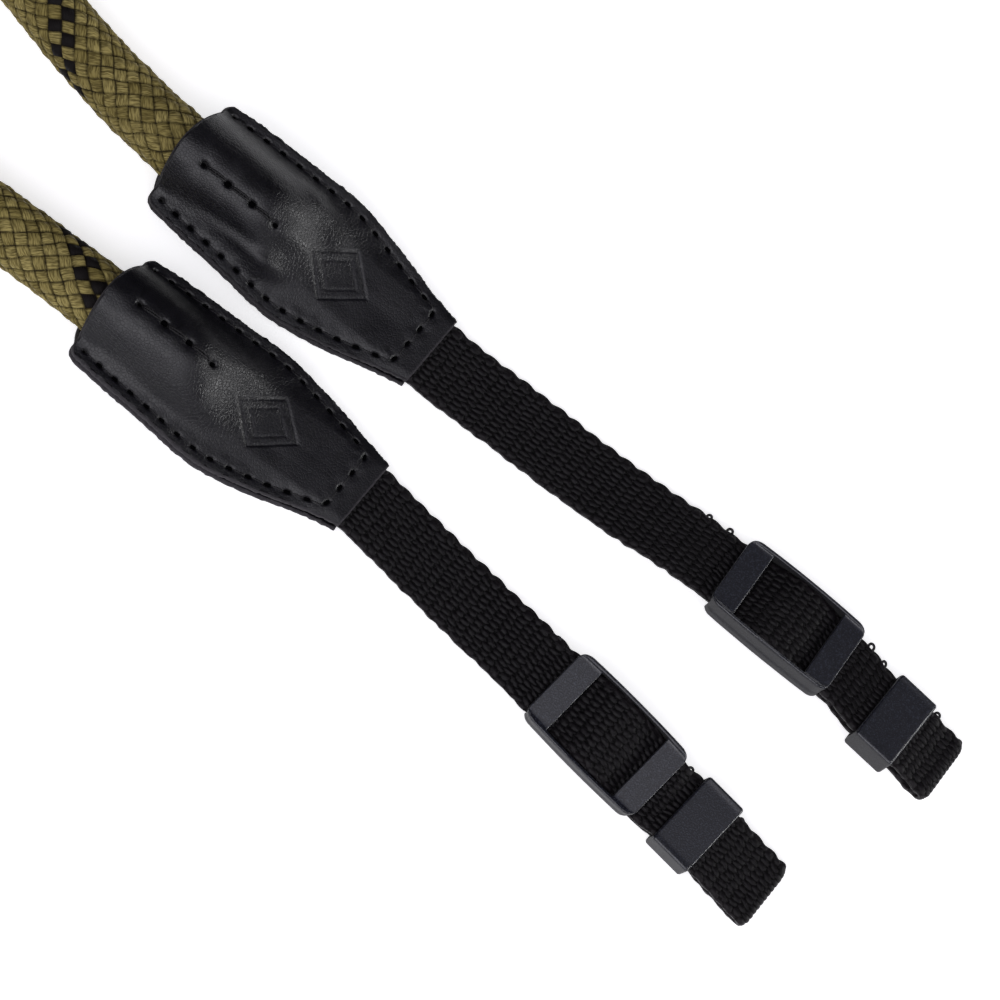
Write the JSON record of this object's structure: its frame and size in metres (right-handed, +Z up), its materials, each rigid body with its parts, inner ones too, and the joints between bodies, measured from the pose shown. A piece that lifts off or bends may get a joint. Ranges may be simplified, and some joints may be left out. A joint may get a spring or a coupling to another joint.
{
  "type": "rope camera strap",
  "caption": "Thick braided rope strap with leather end tabs, narrow webbing, sliders and keepers, folded tips for a camera's lugs.",
  "frame": {"origin": "on the surface that the strap lies on, below the middle of the box round both ends (tabs, webbing, sliders and keepers), the rope left out", "axes": "+X along the strap towards the folded tips, +Y from end b towards end a, +Z up"},
  "size_m": [0.4203, 0.0551, 0.0132],
  "materials": {
    "rope": "glossy olive filament braid with one black tracer",
    "leather": "semi-gloss black, fine grain",
    "webbing": "matte black woven nylon",
    "plastic": "fine textured dark grey"
  },
  "bodies": {
    "root": {"rope": "rope", "tab_top_a": "leather", "tab_bottom_a": "leather", "webbing_a": "webbing", "slider_a": "plastic", "keeper_a": "plastic", "tab_top_b": "leather", "tab_bottom_b": "leather", "webbing_b": "webbing", "slider_b": "plastic", "keeper_b": "plastic"}
  },
  "joints": []
}
